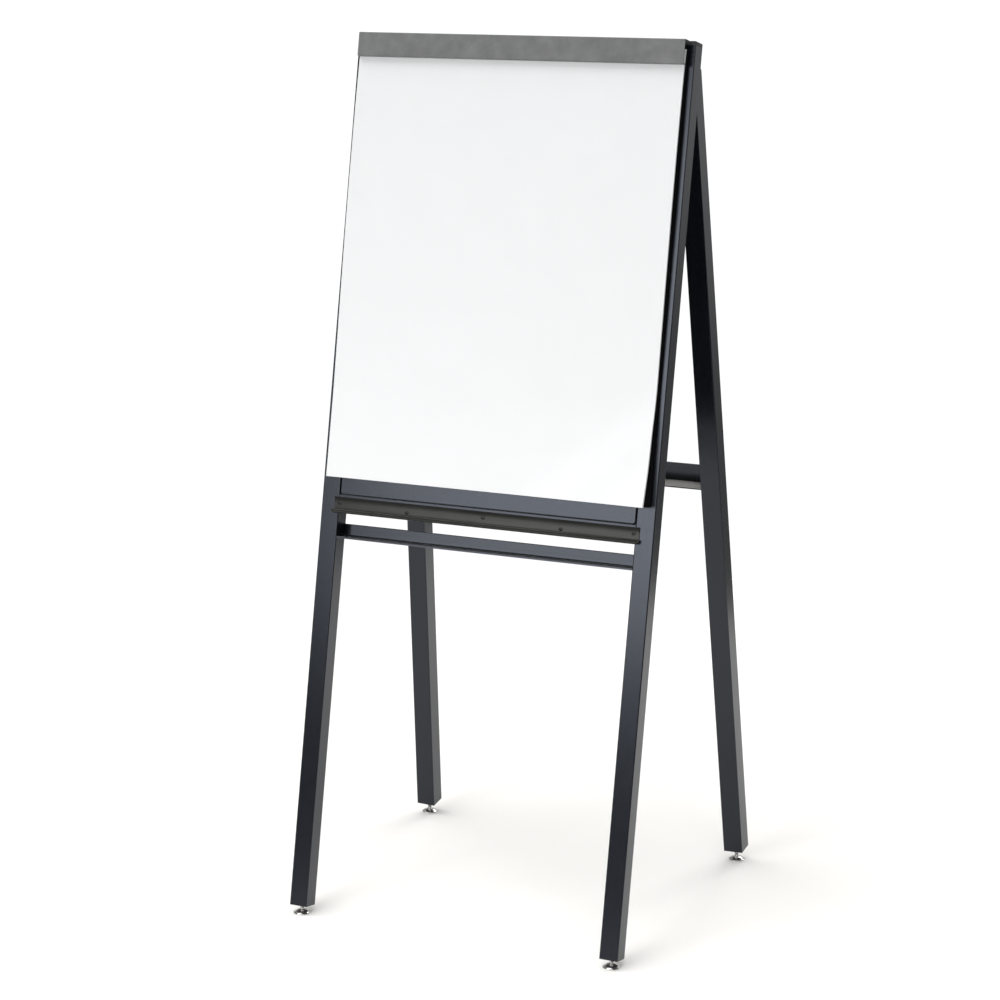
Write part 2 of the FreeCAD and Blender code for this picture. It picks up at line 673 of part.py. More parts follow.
def make_hinge_brackets():
    low, high = "pivot_w - web_lobe", "pivot_w + web_lobe/2"
    back = "pivot_depth + web_lobe"
    section = [("tube", "flange_low"), ("pivot_depth - web_lobe/2", low), (back, low), (back, high),
               ("tube + web_head", "flange_top"), ("tube", "flange_top")]
    web = extrusion("web_plate", section, "web_thick")
    soften(web, "web_round", corner_edges([(back, low), (back, high), ("pivot_depth - web_lobe/2", low)]))
    place(web, "front_frame", ("web_in", "0", "0"), section_across)
    flange = place(box("web_flange", "flange_width", "web_thick", "flange_top - flange_low"), "front_frame",
                   ("web_in - flange_width", "tube", "flange_low"))
    holes = [drill("web_pivot_hole", "pivot_r + turning_fit", "2*web_thick", "front_frame",
                   ("web_in", "pivot_depth", "pivot_w"), to_right),
             drill("web_stop_hole", "stop_shank_r + fixed_fit", "2*web_thick", "front_frame",
                   ("web_in", "stop_y", "stop_w"), to_right)]
    right_spots = list(enumerate(flange_bolt_spots()[:2]))
    holes += [drill(f"flange_hole_{index}", "flange_bolt_r + fixed_fit", "2*web_thick", "front_frame",
                    (across, "tube", up), to_back) for index, (across, up) in right_spots]
    pair(cut("hinge_bracket", fuse("bracket_solid", [web, flange]), holes), "hinge_bracket")
    bolts = []
    for index, (across, up) in right_spots:
        bolt = hex_bolt(f"flange_bolt_{index}", "flange_bolt_r", "flange_bolt_reach",
                        "flange_hex_r", "flange_hex")
        bolts.append(place(bolt, "front_frame", (across, "tube + web_thick", up), to_back))
    both_sides(group("bracket_bolts_right", bolts), "bracket_bolts")
    pin = fuse("stop_pin", [
        place(cylinder("stop_head", "stop_head_r", "stop_head"), None, along="-stop_head"),
        cylinder("stop_shank", "stop_shank_r", "web_thick"),
        place(cylinder("stop_body", "stop_r", "stop_length"), None, along="web_thick")])
    both_sides(place(pin, "front_frame", ("web_in", "stop_y", "stop_w"), to_right), "stop_pins")


def make_rear_legs():
    tube = bar("rear_leg_tube", "rear_tube", "rear_tube", "tube_round", "rear_drop + rear_over", "tube_wall")
    place(tube, "rear_leg_frame", along="-rear_drop")
    seat = drill("bush_seat", "bush_r + fixed_fit", "4*tube_wall", "rear_frame",
                 ("rear_inner_x", "0", "0"), to_right)
    pair(cut("rear_leg", tube, [seat]), "rear_leg")
    bush = ring("pivot_bush", "bush_r", "pivot_r + fixed_fit", "bush_length")
    both_sides(place(bush, "rear_frame", ("bush_end", "0", "0"), to_right), "pivot_bushes")
    washer = ring("pivot_washer", "washer_r", "pivot_r + fixed_fit", "washer_thick")
    both_sides(place(washer, "rear_frame", ("bush_end - washer_thick", "0", "0"), to_right), "pivot_washers")
    reach = "bush_end + bush_length - web_in + pivot_play"
    bolt = hex_bolt("pivot_bolt", "pivot_r", reach, "hex_r", "hex_height")
    both_sides(place(bolt, "rear_frame", ("web_in - pivot_play", "0", "0"), to_left), "pivot_bolts")


def rear_span(up):
    """Half the clear width between the rear legs at a height along the rear frame."""
    return f"rear_inner_x - ({up})*tan(splay)"


def make_rear_crossbar():
    """An angle with its upright leaf at the back and its level leaf reaching forward, mitred to the legs."""
    leaves = []
    for name, top, depth in (("angle_upright", "angle_low + angle_height", "angle_thick"),
                             ("angle_level", "angle_low + angle_thick", "rear_tube")):
        low_half, top_half = rear_span("angle_low"), rear_span(top)
        outline = [(f"-({low_half})", "angle_low"), (low_half, "angle_low"),
                   (top_half, top), (f"-({top_half})", top)]
        leaf = extrusion(name, outline, depth)
        leaves.append(place(leaf, "rear_frame", ("0", "rear_tube/2", "0"), to_front))
    node(fuse("rear_crossbar", leaves), "rear_crossbar")


def make_feet(end, leg_frame, lower_end, stem, plug, foot_x, foot_y):
    """The insert in a leg's lower end, the threaded stem with its ball, and the domed glide on the floor."""
    block = bar(f"insert_block_{end}", plug, plug, "bore_round", "insert_height")
    bore = cylinder(f"insert_bore_{end}", "stem_r + turning_fit", "insert_height")
    both_sides(place(cut(f"insert_{end}", block, [bore]), leg_frame, along=lower_end), f"foot_inserts_{end}")
    threaded = fuse(f"stem_{end}", [
        ball(f"stem_ball_{end}", "ball_r"),
        cylinder(f"stem_neck_{end}", "neck_r", "neck_length"),
        place(cylinder(f"stem_thread_{end}", "stem_r", "thread_length"), None, along="neck_length")])
    pair(place(threaded, leg_frame, along=f"{lower_end} - {stem}"), f"foot_stem_{end}")
    dome = common(f"glide_dome_{end}", cylinder(f"glide_disc_{end}", "glide_r", "glide_top"),
                  place(ball(f"glide_crown_{end}", "crown_r"), None, along="glide_crown - crown_r"))
    socket = place(ball(f"glide_socket_{end}", "ball_r + ball_gap"), None, along="ball_height")
    pair(place(cut(f"glide_{end}", dome, [socket]), None, (foot_x, foot_y, "0")), f"foot_glide_{end}")


def write_nodes():
    doc.recompute()
    for thing in doc.Objects:
        if "Invalid" in thing.State or "Error" in thing.State:
            raise RuntimeError(f"{thing.Name} failed: {thing.State}")
    for thing in nodes:
        shape = thing.Shape
        if shape.isNull() or not shape.isValid() or not shape.Solids:
            raise RuntimeError(f"{thing.Label} has no sound shape")
    os.makedirs("parts", exist_ok=True)
    for thing in nodes:
        thing.Shape.exportStep(f"parts/{thing.Label}.step")
        print(f"{thing.Label}: {len(thing.Shape.Solids)} solids, {thing.Shape.Volume/1000:.2f} cm3")


fill_sheet()
make_frames()
make_front_legs()
make_top_rail()
make_tray()
make_lower_crossbar()
make_panel()
make_board_and_pad()
make_clamp()
make_clamp_hinge()
make_hinge_brackets()
make_rear_legs()
make_rear_crossbar()
make_caps()
make_feet("front", "front_leg_frame", "0", "front_stem", "plug", "leg_x", "-foot_spacing/2")
make_feet("rear", "rear_leg_frame", "-rear_drop", "rear_stem", "rear_plug", "rear_foot_x", "foot_spacing/2")
write_nodes()
for name in ("pivot_y", "pivot_z", "rear_lean", "open_angle", "rear_foot_x", "front_y", "front_z"):
    print(name, round(value(name), 3))
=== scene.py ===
import json
import math
import bmesh
import bpy
from mathutils import Matrix, Vector, noise


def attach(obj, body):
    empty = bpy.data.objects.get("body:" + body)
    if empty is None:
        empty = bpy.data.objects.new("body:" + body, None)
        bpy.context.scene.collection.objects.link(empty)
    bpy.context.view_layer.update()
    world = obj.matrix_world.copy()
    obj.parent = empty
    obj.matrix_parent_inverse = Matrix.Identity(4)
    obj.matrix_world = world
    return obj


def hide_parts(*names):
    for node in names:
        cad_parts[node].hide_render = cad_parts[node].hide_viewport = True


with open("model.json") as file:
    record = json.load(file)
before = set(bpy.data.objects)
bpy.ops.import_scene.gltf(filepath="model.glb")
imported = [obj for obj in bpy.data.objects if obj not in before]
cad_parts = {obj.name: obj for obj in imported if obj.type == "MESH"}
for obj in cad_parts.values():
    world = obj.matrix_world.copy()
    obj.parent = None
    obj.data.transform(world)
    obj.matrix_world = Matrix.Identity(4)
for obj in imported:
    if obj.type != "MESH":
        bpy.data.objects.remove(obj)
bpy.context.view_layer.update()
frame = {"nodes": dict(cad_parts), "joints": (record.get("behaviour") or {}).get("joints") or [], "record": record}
nodes = frame["nodes"]
joints = {joint["name"]: joint for joint in frame["joints"]}
slotOf = {part["node"]: part["material_slot"] for part in frame["record"]["subparts"]}
across = Vector((1, 0, 0))
# points nearer than this are merged; noise patterns are used between the low and the high value
weldNode, weldPiece = 1e-6, 1e-7
noiseLow, noiseHigh = 0.3, 0.7
print("frame loaded:", len(nodes), "nodes")


# a leg's own axes: side, back and up, read from the slide of its foot
def legAxes(end, side):
    up = -Vector(joints[f"foot_height_{end}_{side}"]["axis"]).normalized()
    back = up.cross(across).normalized()
    return Matrix((back.cross(up), back, up))


frontAxes = legAxes("front", "right")
toFrame = frontAxes.transposed()
frontBack = Vector(frontAxes[1])
frontLean = math.atan2(frontAxes[2][1], frontAxes[2][2])
rearAxes = legAxes("rear", "right")
rearLean = math.atan2(rearAxes[2][1], rearAxes[2][2])


def boxAlong(points, axes):
    turned = [axes @ Vector(point) for point in points]
    low = Vector([min(point[k] for point in turned) for k in range(3)])
    high = Vector([max(point[k] for point in turned) for k in range(3)])
    return low, high


def frontBox(node):
    return boxAlong([vertex.co for vertex in nodes[node].data.vertices], frontAxes)


# the separate solids of a node, as lists of points
def solidsOf(node):
    mesh = bmesh.new()
    mesh.from_mesh(nodes[node].data)
    bmesh.ops.remove_doubles(mesh, verts=mesh.verts, dist=weldNode)
    waiting = set(mesh.verts)
    solids = []
    while waiting:
        reached = [waiting.pop()]
        for vertex in reached:
            for edge in vertex.link_edges:
                other = edge.other_vert(vertex)
                if other in waiting:
                    waiting.remove(other)
                    reached.append(other)
        solids.append([vertex.co.copy() for vertex in reached])
    mesh.free()
    return sorted(solids, key=lambda points: (round(points[0].x, 3), points[0].z))


# nodes of shader and geometry trees: a socket is linked, anything else is set
def addNode(tree, kind, inputs=None, **settings):
    node = tree.nodes.new(kind)
    for name, given in settings.items():
        setattr(node, name, given)
    for name, given in (inputs or {}).items():
        socket = node.inputs[name]
        if isinstance(given, bpy.types.NodeSocket):
            tree.links.new(given, socket)
        else:
            socket.default_value = given
    return node


def sums(tree, operation, first, second):
    return addNode(tree, "ShaderNodeMath", {0: first, 1: second}, operation=operation).outputs["Value"]


def newFinish(name, looks):
    material = bpy.data.materials.new(name)
    material.use_nodes = True
    tree = material.node_tree
    tree.nodes.clear()
    shader = addNode(tree, "ShaderNodeBsdfPrincipled", looks)
    addNode(tree, "ShaderNodeOutputMaterial", {"Surface": shader.outputs["BSDF"]})
    place = addNode(tree, "ShaderNodeTexCoord").outputs["Object"]
    return material, tree, shader, place


def grain(tree, place, scale, detail, stretch=(1, 1, 1), turn=(0, 0, 0)):
    mapped = addNode(tree, "ShaderNodeMapping", {"Vector": place, "Scale": stretch, "Rotation": turn})
    made = addNode(tree, "ShaderNodeTexNoise", {
        "Vector": mapped.outputs["Vector"], "Scale": scale, "Detail": detail})
    return made.outputs["Fac"]


def between(tree, factor, low, high, start=noiseLow, end=noiseHigh):
    return addNode(tree, "ShaderNodeMapRange", {
        "Value": factor, "From Min": start, "From Max": end, "To Min": low, "To Max": high}).outputs["Result"]


def blendColour(tree, factor, first, second):
    made = addNode(tree, "ShaderNodeMix", data_type="RGBA")
    tree.links.new(factor, made.inputs["Factor"])
    for socket, colour in (("A_Color", first), ("B_Color", second)):
        entry = next(entry for entry in made.inputs if entry.identifier == socket)
        if isinstance(colour, bpy.types.NodeSocket):
            tree.links.new(colour, entry)
        else:
            entry.default_value = (*colour, 1)
    return next(out for out in made.outputs if out.identifier == "Result_Color")


def roughen(tree, shader, height, strength, distance):
    bump = addNode(tree, "ShaderNodeBump", {"Height": height, "Strength": strength, "Distance": distance})
    tree.links.new(bump.outputs["Normal"], shader.inputs["Normal"])


# base colour between a dark and a light tone and roughness between two values, each led by a pattern
def paint(tree, shader, look, tones, wear, start=noiseLow, end=noiseHigh):
    tone = blendColour(tree, between(tree, tones, 0, 1, start, end), look["dark"], look["light"])
    tree.links.new(tone, shader.inputs["Base Color"])
    rough = between(tree, wear, look["roughLow"], look["roughHigh"], start, end)
    tree.links.new(rough, shader.inputs["Roughness"])


# the pale beige for level faces is partly dust and partly a painted highlight: it lightens faces that look up, as
# light from above would
coatLook = {"dark": (0.0038, 0.0047, 0.0070), "light": (0.0050, 0.0060, 0.0088), "roughLow": 0.215,
            "roughHigh": 0.245, "ior": 1.5, "tint": (0.84, 0.88, 1.0, 1), "patchScale": 7, "peelScale": 650,
            "peelStrength": 0.06, "peelDepth": 0.0002, "drawnScale": 260, "drawnLength": 0.006,
            "dustAndTopLight": (0.42, 0.41, 0.39), "dustAndTopLightShare": 0.85, "dustAndTopLightFrom": 0.984, "dustAndTopLightTo": 0.990}


# satin powder coat over drawn tube, with faint drawn lines along the piece, and a pale beige on level ledges that
# is partly dust and partly a painted highlight of light from above
def powderCoat(name, lines, turn):
    looks = {"Specular Tint": coatLook["tint"], "IOR": coatLook["ior"]}
    material, tree, shader, place = newFinish(name, looks)
    patches = grain(tree, place, coatLook["patchScale"], detail=3)
    peel = grain(tree, place, coatLook["peelScale"], detail=1)
    drawn = grain(tree, place, coatLook["drawnScale"], detail=3, stretch=lines, turn=turn)
    tone = blendColour(tree, between(tree, patches, 0, 1), coatLook["dark"], coatLook["light"])
    facing = addNode(tree, "ShaderNodeTexCoord").outputs["Normal"]
    level = addNode(tree, "ShaderNodeSeparateXYZ", {"Vector": facing}).outputs["Z"]
    # faces that look up are blended towards pale beige: partly dust, partly painted top light
    dustAndTopLight = between(tree, level, 0, coatLook["dustAndTopLightShare"], coatLook["dustAndTopLightFrom"], coatLook["dustAndTopLightTo"])
    tree.links.new(blendColour(tree, dustAndTopLight, tone, coatLook["dustAndTopLight"]), shader.inputs["Base Color"])
    rough = between(tree, drawn, coatLook["roughLow"], coatLook["roughHigh"])
    tree.links.new(sums(tree, "MAXIMUM", rough, dustAndTopLight), shader.inputs["Roughness"])
    roughen(tree, shader, peel, coatLook["peelStrength"], coatLook["peelDepth"])
    return material


clampLook = {"dark": (0.140, 0.143, 0.139), "light": (0.205, 0.208, 0.202), "roughness": 0.52,
             "roughSpread": 0.06, "ior": 1.45, "speckleScale": 420, "speckleShare": 0.45, "cloudScale": 38,
             "bumpStrength": 0.25, "bumpDepth": 0.0003}


def clampCoat():
    material, tree, shader, place = newFinish("clampCoat", {"IOR": clampLook["ior"]})
    speckle = grain(tree, place, clampLook["speckleScale"], detail=4)
    cloud = grain(tree, place, clampLook["cloudScale"], detail=4)
    tone = blendColour(tree, between(tree, cloud, 0, 1), clampLook["dark"], clampLook["light"])
    spots = between(tree, speckle, 0, clampLook["speckleShare"])
    tree.links.new(blendColour(tree, spots, tone, clampLook["dark"]), shader.inputs["Base Color"])
    rough, spread = clampLook["roughness"], clampLook["roughSpread"]
    tree.links.new(between(tree, speckle, rough - spread, rough + spread), shader.inputs["Roughness"])
    roughen(tree, shader, speckle, clampLook["bumpStrength"], clampLook["bumpDepth"])
    return material


trayLook = {"dark": (0.015, 0.016, 0.0145), "light": (0.023, 0.0235, 0.021), "roughLow": 0.20,
            "roughHigh": 0.27, "tint": (1.0, 0.97, 0.90, 1), "ior": 1.33, "brushScale": 240,
            "brushLength": 0.03, "cloudScale": 16, "bumpStrength": 0.06, "bumpDepth": 0.0002}


def trayCoat():
    looks = {"Specular Tint": trayLook["tint"], "IOR": trayLook["ior"]}
    material, tree, shader, place = newFinish("trayCoat", looks)
    brushed = grain(tree, place, trayLook["brushScale"], detail=3, stretch=(trayLook["brushLength"], 1, 1))
    cloud = grain(tree, place, trayLook["cloudScale"], detail=3)
    paint(tree, shader, trayLook, cloud, brushed)
    roughen(tree, shader, brushed, trayLook["bumpStrength"], trayLook["bumpDepth"])
    return material


boardLook = {"dark": (0.004, 0.004, 0.0045), "light": (0.009, 0.009, 0.010), "roughLow": 0.62,
             "roughHigh": 0.8, "ior": 1.14, "fibreScale": 260, "bumpStrength": 0.3, "bumpDepth": 0.0003}


def boardFace():
    material, tree, shader, place = newFinish("boardFace", {"IOR": boardLook["ior"]})
    fibre = grain(tree, place, boardLook["fibreScale"], detail=5)
    paint(tree, shader, boardLook, fibre, fibre)
    roughen(tree, shader, fibre, boardLook["bumpStrength"], boardLook["bumpDepth"])
    return material


paperLook = {"dark": (0.845, 0.845, 0.846), "light": (0.870, 0.870, 0.871), "roughness": 0.82, "ior": 1.35,
             "fibreScale": 900, "cloudScale": 12, "cloudLow": 0.55, "pageStep": 0.0004, "gapShare": 0.4,
             "gapShadeTone": (0.70, 0.70, 0.69), "bumpStrength": 0.08, "bumpDepth": 0.0001}


# paper with fine fibres; where pages show, thin grey lines of painted shade part the leaves of the stack
def paperFace(name, pages):
    looks = {"Roughness": paperLook["roughness"], "IOR": paperLook["ior"]}
    material, tree, shader, place = newFinish(name, looks)
    height = grain(tree, place, paperLook["fibreScale"], detail=5)
    cloud = grain(tree, place, paperLook["cloudScale"], detail=3)
    share = between(tree, cloud, paperLook["cloudLow"], 1)
    tone = blendColour(tree, share, paperLook["dark"], paperLook["light"])
    if pages:
        step = paperLook["pageStep"]
        turned = addNode(tree, "ShaderNodeMapping", {"Vector": place, "Rotation": (frontLean, 0, 0)})
        split = addNode(tree, "ShaderNodeSeparateXYZ", {"Vector": turned.outputs["Vector"]})
        layers = sums(tree, "PINGPONG", split.outputs["Y"], step)
        height = between(tree, layers, 0, 1, 0, paperLook["gapShare"]*step)
        # the gaps between leaves get a grey tone: painted shade where light would not reach between the pages
        tone = blendColour(tree, height, paperLook["gapShadeTone"], tone)
    tree.links.new(tone, shader.inputs["Base Color"])
    roughen(tree, shader, height, paperLook["bumpStrength"], paperLook["bumpDepth"])
    return material


plasticLook = {"dark": (0.022, 0.0225, 0.024), "light": (0.032, 0.0325, 0.034), "roughLow": 0.42,
               "roughHigh": 0.56, "ior": 1.46, "pebbleScale": 1100, "cloudScale": 30, "bumpStrength": 0.22,
               "bumpDepth": 0.0002}


def mouldedPlastic():
    material, tree, shader, place = newFinish("mouldedPlastic", {"IOR": plasticLook["ior"]})
    pebble = grain(tree, place, plasticLook["pebbleScale"], detail=3)
    cloud = grain(tree, place, plasticLook["cloudScale"], detail=2)
    paint(tree, shader, plasticLook, cloud, pebble)
    roughen(tree, shader, pebble, plasticLook["bumpStrength"], plasticLook["bumpDepth"])
    return material


oxideLook = {"dark": (0.030, 0.030, 0.032), "light": (0.060, 0.060, 0.062), "roughLow": 0.34,
             "roughHigh": 0.5, "metallic": 0.85, "wearScale": 500}
brightLook = {"dark": (0.70, 0.69, 0.67), "light": (0.82, 0.81, 0.79), "roughLow": 0.14, "roughHigh": 0.26,
              "metallic": 1.0, "wearScale": 300}


# black oxide on screws, or the bright plate of the feet, each a little worn
def wornMetal(name, look):
    material, tree, shader, place = newFinish(name, {"Metallic": look["metallic"]})
    worn = grain(tree, place, look["wearScale"], detail=4)
    paint(tree, shader, look, worn, worn)
    return material


zincLook = {"dark": (0.40, 0.41, 0.42), "light": (0.52, 0.53, 0.54), "roughLow": 0.28, "roughHigh": 0.42,
            "spangleScale": 380}


def zincPlate():
    material, tree, shader, place = newFinish("zincPlate", {"Metallic": 1.0})
    cells = addNode(tree, "ShaderNodeTexVoronoi", {"Vector": place, "Scale": zincLook["spangleScale"]})
    shade = addNode(tree, "ShaderNodeSeparateXYZ", {"Vector": cells.outputs["Color"]}).outputs["X"]
    paint(tree, shader, zincLook, shade, shade, 0, 1)
    return material


lengthwise, crosswise = (1, 1, coatLook["drawnLength"]), (coatLook["drawnLength"], 1, 1)
frontCoat = powderCoat("frontTubeCoat", lengthwise, (frontLean, 0, 0))
rearCoat = powderCoat("rearTubeCoat", lengthwise, (rearLean, 0, 0))
railCoat = powderCoat("railCoat", crosswise, (0, 0, 0))
panelCoat = powderCoat("panelCoat", (1, 1, 1), (frontLean, 0, 0))
finishes = {"tube_charcoal": railCoat, "panel_charcoal": panelCoat, "clamp_grey": clampCoat(),
            "tray_grey": trayCoat(), "board_black": boardFace(),
            "paper_white": paperFace("sheetPaper", False), "plastic_black": mouldedPlastic(),
            "screw_black": wornMetal("blackOxide", oxideLook), "zinc": zincPlate(),
            "foot_chrome": wornMetal("brightPlate", brightLook)}
for name, part in nodes.items():
    finish = finishes[slotOf[name]]
    if name.startswith(("front_leg_r", "front_leg_l")):
        finish = frontCoat
    if name.startswith(("rear_leg_r", "rear_leg_l")):
        finish = rearCoat
    part.data.materials.clear()
    part.data.materials.append(finish)
print("finishes:", len(bpy.data.materials))


# turns a bmesh into a finished piece that rides on a body
def finishPiece(name, mesh, body, slot, replaced, sharp, finish=None):
    bmesh.ops.remove_doubles(mesh, verts=mesh.verts, dist=weldPiece)
    bmesh.ops.recalc_face_normals(mesh, faces=mesh.faces)
    data = bpy.data.meshes.new(name)
    mesh.to_mesh(data)
    mesh.free()
    return setPiece(name, data, body, slot, replaced, sharp, finish)


def setPiece(name, data, body, slot, replaced, sharp, finish=None):
    piece = bpy.data.objects.new(name, data)
    bpy.context.scene.collection.objects.link(piece)
    data.materials.clear()
    data.materials.append(finish or finishes[slot])
    data.shade_smooth()
    data.set_sharp_from_angle(angle=math.radians(sharp))
    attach(piece, body)
    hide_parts(*replaced)
    return piece


# closed skin through rings of equal length
def skin(mesh, rings):
    rows = [[mesh.verts.new(point) for point in ring] for ring in rings]
    count = len(rows[0])
    for lower, upper in zip(rows, rows[1:]):
        for k in range(count):
            mesh.faces.new((lower[k], lower[(k + 1) % count], upper[(k + 1) % count], upper[k]))
    mesh.faces.new(list(reversed(rows[0])))
    mesh.faces.new(rows[-1])


padShape = {"columns": 86, "rows": 108, "curlUp": 0.215, "curlIn": 0.260, "lift": 0.024, "softFold": 0.14,
            "wave": 0.0028, "waveFrom": 0.3, "ripple": 0.0009, "rippleSize": 0.21, "rippleFade": 0.35,
            "edgeGap": 0.0012, "edgeRise": 0.18, "seed": 4.7, "bulge": 0.0055, "bulgeShare": 0.8,
            "bulgePower": 0.7, "trimRight": 0.0016, "boardGap": 0.0001, "backShare": 0.95,
            "sheetBack": 0.0001, "sheetFace": 0.0004}
padBox, sheetBox = frontBox("paper_pad"), frontBox("pad_top_sheet")
padHalf, padLow, padTop = sheetBox[1].x, sheetBox[0].z, sheetBox[1].z
boardFaceAt, sheetBackAt = padBox[1].y, sheetBox[1].y
sheetWide = 2*padHalf - padShape["trimRight"]


# how far the pad stands forward at its curled corner; its share is 0 at the slanting fold, 1 at the corner
def cornerLift(x, up):
    share = (x - padHalf + padShape["curlIn"])/padShape["curlIn"] - (up - padLow)/padShape["curlUp"]
    soft = padShape["softFold"]
    if share <= -soft:
        return 0.0
    rise = share if share > soft else (share + soft)**2/(4*soft)
    past = (share - padShape["waveFrom"])/(1 - padShape["waveFrom"])
    dip = math.sin(math.pi*min(1.0, max(0.0, past)))**2
    return padShape["lift"]*rise - padShape["wave"]*dip


# how far the whole pad stands forward: its curled corner, and its bulge under the clamp
def padForward(x, up):
    down = min(1.0, (padTop - up)/(padTop - padLow)/padShape["bulgeShare"])
    return cornerLift(x, up) + padShape["bulge"]*math.sin(math.pi*down**padShape["bulgePower"])


# small waves of the loose sheet, which the clamp flattens at the top
def sheetRipple(x, up):
    loose = min(1.0, (padTop - up)/padShape["rippleFade"])
    wave = 0.5 + 0.5*noise.noise(Vector((x, up, padShape["seed"]))/padShape["rippleSize"])
    low = max(0.0, 1 - (up - padLow)/padShape["edgeRise"])
    return loose*padShape["ripple"]*wave + padShape["edgeGap"]*low**2


# a closed layer of paper between two surfaces over the pad's outline
def paperLayer(name, backAt, faceAt, replaced, finish):
    mesh = bmesh.new()
    wide, high = padShape["columns"], padShape["rows"]
    grids = []
    for surface in (backAt, faceAt):
        grid = []
        for row in range(high + 1):
            up = padLow + (padTop - padLow)*row/high
            places = [-padHalf + sheetWide*column/wide for column in range(wide + 1)]
            grid.append([mesh.verts.new(toFrame @ Vector((x, surface(x, up), up))) for x in places])
        grids.append(grid)
        for row in range(high):
            for k in range(wide):
                mesh.faces.new((grid[row][k], grid[row][k + 1], grid[row + 1][k + 1], grid[row + 1][k]))
    rims = []
    for grid in grids:
        right, left = [row[-1] for row in grid[1:]], [row[0] for row in grid[-2:0:-1]]
        rims.append(grid[0] + right + grid[-1][-2::-1] + left)
    count = len(rims[0])
    for k in range(count):
        mesh.faces.new((rims[0][k], rims[0][(k + 1) % count], rims[1][(k + 1) % count], rims[1][k]))
    return finishPiece(name, mesh, "front_frame", "paper_white", replaced, sharp=50, finish=finish)


def pagesBack(x, up):
    return boardFaceAt - padShape["boardGap"] - padShape["backShare"]*padForward(x, up)


def pagesFace(x, up):
    return sheetBackAt - padForward(x, up)


def sheetBack(x, up):
    return sheetBackAt - padShape["sheetBack"] - padForward(x, up) - sheetRipple(x, up)


def sheetFace(x, up):
    return sheetBackAt - padShape["sheetFace"] - padForward(x, up) - sheetRipple(x, up)


pages = paperLayer("padPages", pagesBack, pagesFace, ["paper_pad"], paperFace("pagePaper", True))
topSheet = paperLayer("padTopSheet", sheetBack, sheetFace, ["pad_top_sheet"], finishes["paper_white"])
print("pad:", len(pages.data.polygons) + len(topSheet.data.polygons), "faces")


trayShape = {"sheet": 0.0016, "sag": 0.0011, "bendSteps": 12, "plateSteps": 10, "lipRoll": 0.0009}
trayBox = frontBox("marker_tray")


# a half-round gutter bent from sheet, with a plate that bows a little: one section, drawn out across
def makeTray():
    low, high = trayBox
    outer = (high.y - low.y)/2
    sheet = trayShape["sheet"]
    middle = Vector((high.y - outer, low.z + outer))
    plate = high.z - middle.y
    front, rear = [], []
    for k in range(trayShape["plateSteps"] + 1):
        share = k/trayShape["plateSteps"]
        bow = trayShape["sag"]*(2*share - 1)**2
        back = high.y - bow*(1 - share)**0.5
        rear.append((back, high.z - plate*share))
        front.append((back - sheet, high.z - plate*share))
    for k in range(1, trayShape["bendSteps"] + 1):
        turn = math.pi*k/trayShape["bendSteps"]
        for side, radius in ((rear, outer), (front, outer - sheet)):
            side.append((middle.x + radius*math.cos(turn), middle.y - radius*math.sin(turn)))
    tip = (low.y + sheet/2, middle.y + trayShape["lipRoll"])
    section = rear + [tip] + list(reversed(front))
    mesh = bmesh.new()
    skin(mesh, [[toFrame @ Vector((x, back, up)) for back, up in section] for x in (low.x, high.x)])
    finishPiece("markerTray", mesh, "front_frame", "tray_grey", ["marker_tray"], sharp=40)


makeTray()
print("tray made")


screwShape = {"Head Radius": 0.0034, "Head Height": 0.0016, "Crown": 0.5, "Shank Radius": 0.0016,
              "Shank Length": 0.0052, "Recess Length": 0.0036, "Recess Width": 0.0008, "Recess Depth": 0.0010,
              "Seed": 3}
screwMake = {"around": 28, "sides": 3, "rings": 5, "shankSides": 16, "sunk": 0.3, "seat": 0.0014}
boltShape = {"bracket_bolts": {"Hex Radius": 0.0058, "Head Height": 0.0040,
                               "Shank Radius": 0.0030, "Shank Length": 0.012},
             "pivot_bolts": {"Hex Radius": 0.0075, "Head Height": 0.0053,
                             "Shank Radius": 0.0040, "Shank Length": 0.0265}}
boltMake = {"corners": 6, "coneSides": 48, "shankSides": 24, "flat": 0.82, "slope": 1.732, "sunk": 0.5,
            "spin": 0.26}


def newTree(name, sizes):
    tree = bpy.data.node_groups.new(name, "GeometryNodeTree")
    tree.interface.new_socket("Spots", in_out="INPUT", socket_type="NodeSocketGeometry")
    for label, given in sizes.items():
        kind = "NodeSocketInt" if isinstance(given, int) else "NodeSocketFloat"
        tree.interface.new_socket(label, in_out="INPUT", socket_type=kind).default_value = given
    tree.interface.new_socket("Finish", in_out="INPUT", socket_type="NodeSocketMaterial")
    tree.interface.new_socket("Fasteners", in_out="OUTPUT", socket_type="NodeSocketGeometry")
    return tree, addNode(tree, "NodeGroupInput").outputs


def shifted(tree, geometry, up, turn=0.0):
    offset = addNode(tree, "ShaderNodeCombineXYZ", {"Z": up}).outputs["Vector"]
    return addNode(tree, "GeometryNodeTransform", {"Geometry": geometry, "Translation": offset,
                                                  "Rotation": (0, 0, turn)}).outputs["Geometry"]


def boolean(tree, operation, first, second):
    node = addNode(tree, "GeometryNodeMeshBoolean", operation=operation, solver="EXACT")
    if operation == "DIFFERENCE":
        tree.links.new(first, node.inputs["Mesh 1"])
        tree.links.new(second, node.inputs["Mesh 2"])
    else:
        for geometry in (first, second):
            tree.links.new(geometry, node.inputs["Mesh 2"])
    return node.outputs["Mesh"]


def rod(tree, radius, length, corners, up):
    made = addNode(tree, "GeometryNodeMeshCylinder", {"Vertices": corners, "Radius": radius, "Depth": length})
    return shifted(tree, made.outputs["Mesh"], up)


# a shank below height 0 that reaches a little way up into its head
def shank(tree, given, sunkShare, corners):
    sunk = sums(tree, "MULTIPLY", given["Head Height"], sunkShare)
    length = sums(tree, "ADD", given["Shank Length"], sunk)
    up = sums(tree, "SUBTRACT", sunk, sums(tree, "MULTIPLY", length, 0.5))
    return rod(tree, given["Shank Radius"], length, corners, up)


